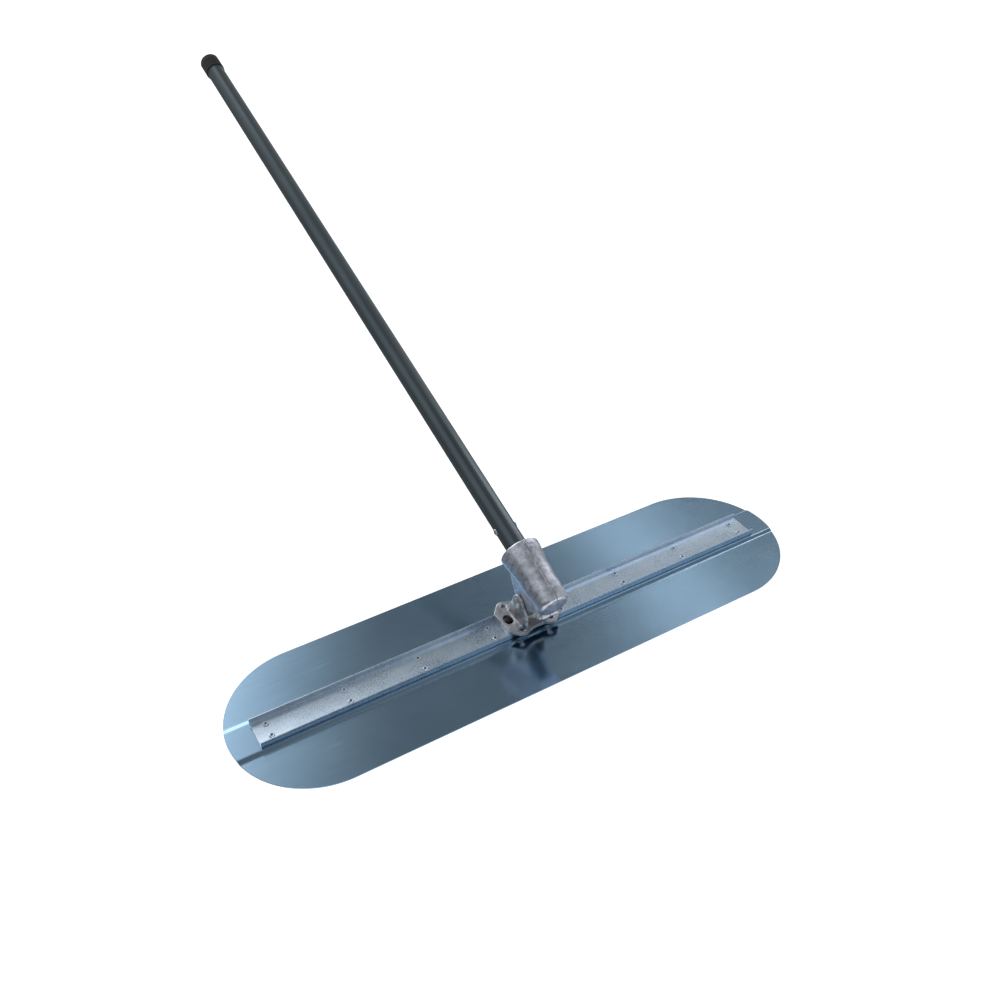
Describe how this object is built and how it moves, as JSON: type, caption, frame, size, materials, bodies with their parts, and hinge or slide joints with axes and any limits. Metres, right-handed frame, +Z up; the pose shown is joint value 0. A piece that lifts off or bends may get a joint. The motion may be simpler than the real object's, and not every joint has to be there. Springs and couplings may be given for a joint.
{
  "type": "walking finishing trowel",
  "caption": "Long round-ended steel trowel blade with a riveted channel and a worm-geared bracket, so that turning its long handle tilts the blade.",
  "frame": {"origin": "point of the blade's flat underside on the tool's middle plane, 80 mm in front of the blade's centre line, so clear of the hollow under the raised rib", "axes": "+X along the blade's length, +Y from the blade's front edge towards the handle, +Z up, away from the concrete"},
  "size_m": [0.9144, 1.2818, 0.5468],
  "materials": {
    "blued_steel": "blue-tempered spring steel, brushed lengthwise",
    "galvanised": "zinc with a faint spangle",
    "cast_aluminium": "tumbled casting, satin",
    "black_steel": "black oxide, oiled",
    "plated_steel": "zinc plated, satin",
    "bronze": "sintered, oil filled",
    "tube_coat": "dark grey-green coat, satin gloss",
    "rubber": "matt moulded"
  },
  "bodies": {
    "blade_assembly": {"base_bolt_1": "black_steel", "base_bolt_2": "black_steel", "base_nut_1": "black_steel", "base_nut_2": "black_steel", "base_washer_1": "black_steel", "base_washer_2": "black_steel", "blade": "blued_steel", "bracket_base": "cast_aluminium", "gear_sector": "plated_steel", "mounting_channel": "galvanised", "pivot_bolt": "plated_steel", "pivot_bush": "plated_steel", "pivot_nut": "plated_steel", "pivot_washer_left": "plated_steel", "pivot_washer_right": "plated_steel", "rivet_01": "galvanised", "rivet_02": "galvanised", "rivet_03": "galvanised", "rivet_04": "galvanised", "rivet_05": "galvanised", "rivet_06": "galvanised", "rivet_07": "galvanised", "rivet_08": "galvanised", "rivet_09": "galvanised", "rivet_10": "galvanised", "rivet_11": "galvanised", "rivet_12": "galvanised", "rivet_13": "galvanised", "rivet_14": "galvanised", "rivet_15": "galvanised", "rivet_16": "galvanised", "sector_pin": "plated_steel"},
    "housing": {"housing_left": "cast_aluminium", "housing_right": "cast_aluminium", "housing_screw_front": "plated_steel", "housing_screw_back": "plated_steel", "housing_nut_front": "plated_steel", "housing_nut_back": "plated_steel", "lower_bush": "bronze", "upper_bush": "bronze", "thrust_washer": "plated_steel"},
    "handle": {"worm_shaft": "plated_steel", "worm_lock_nut": "plated_steel", "handle_tube": "tube_coat", "handle_rivet": "galvanised", "handle_cap": "rubber"}
  },
  "joints": [
    {"name": "tilt", "type": "hinge", "parent": "blade_assembly", "child": "housing", "pos_m": [0, 0.07, 0.056], "axis": [1, 0, 0], "range_deg": [-14, 35]},
    {"name": "handle_turn", "type": "hinge", "parent": "housing", "child": "handle", "pos_m": [0, 0.04981, 0.11303], "axis": [0, 0.9426, 0.3338], "range_deg": [-1332, 534]}
  ],
  "couplings": [
    {"joint": "handle_turn", "follows": "tilt", "ratio": -38}
  ]
}
